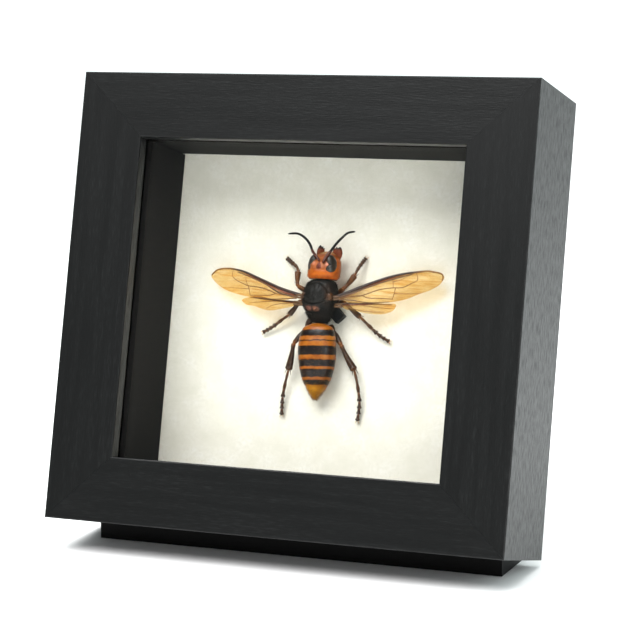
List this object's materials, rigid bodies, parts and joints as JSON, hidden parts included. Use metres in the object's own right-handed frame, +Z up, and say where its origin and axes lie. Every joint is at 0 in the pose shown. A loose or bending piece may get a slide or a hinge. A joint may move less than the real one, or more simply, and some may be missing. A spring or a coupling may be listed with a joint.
{
  "type": "framed mounted asian giant hornet",
  "caption": "Life-size mounted Asian giant hornet with spread wings, fixed on a card behind glass in a deep black wooden case that leans back on a low foot.",
  "frame": {"origin": "on the floor, under the middle of the whole model", "axes": "+X to the right across the case as its glass is viewed, +Y from the glass to the back, +Z up"},
  "size_m": [0.127, 0.0616, 0.1263],
  "materials": {
    "stained_wood": "black stained wood, satin",
    "pane": "clear picture glass",
    "inner_wall": "black faced board, matt",
    "card": "ivory mottled card, matt",
    "back_board": "brown hardboard, matt",
    "steel": "zinc plated steel",
    "foot": "black moulded plastic, matt",
    "foam": "black closed-cell foam, matt",
    "head": "orange chitin, satin",
    "eye": "dark compound eye, glossy",
    "jaw": "dark red chitin, satin",
    "feeler": "black chitin, satin",
    "thorax": "blackish brown chitin with short down",
    "abdomen": "orange chitin with blackish brown bands, satin",
    "abdomen_tip": "golden chitin, satin",
    "leg": "dark brown chitin, satin",
    "wing": "clear amber membrane with brown veins"
  },
  "bodies": {
    "root": {"rail_bottom": "stained_wood", "rail_top": "stained_wood", "rail_left": "stained_wood", "rail_right": "stained_wood", "glass_pane": "pane", "wall_left": "inner_wall", "wall_right": "inner_wall", "wall_bottom": "inner_wall", "wall_top": "inner_wall", "backing_card": "card", "back_panel": "back_board", "turn_tab_left": "steel", "turn_tab_right": "steel", "turn_tab_top": "steel", "turn_tab_bottom": "steel", "stand_foot": "foot", "mount_block": "foam", "thorax_front": "thorax", "thorax_middle": "thorax", "thorax_rear": "thorax", "neck": "thorax", "waist": "thorax", "head": "head", "eye_left": "eye", "eye_right": "eye", "mandible_left": "jaw", "mandible_right": "jaw", "antenna_left": "feeler", "antenna_right": "feeler", "wing_fore_left": "wing", "wing_hind_left": "wing", "wing_fore_right": "wing", "wing_hind_right": "wing", "abdomen_1": "abdomen", "abdomen_2": "abdomen", "abdomen_3": "abdomen", "abdomen_4": "abdomen", "abdomen_5": "abdomen", "abdomen_6": "abdomen_tip", "leg_fore_left_haunch": "leg", "leg_fore_left_shin": "leg", "leg_fore_left_foot": "leg", "leg_fore_right_haunch": "leg", "leg_fore_right_shin": "leg", "leg_fore_right_foot": "leg", "leg_middle_left_haunch": "leg", "leg_middle_left_shin": "leg", "leg_middle_left_foot": "leg", "leg_middle_right_haunch": "leg", "leg_middle_right_shin": "leg", "leg_middle_right_foot": "leg", "leg_hind_left_haunch": "leg", "leg_hind_left_shin": "leg", "leg_hind_left_foot": "leg", "leg_hind_right_haunch": "leg", "leg_hind_right_shin": "leg", "leg_hind_right_foot": "leg"}
  },
  "joints": []
}
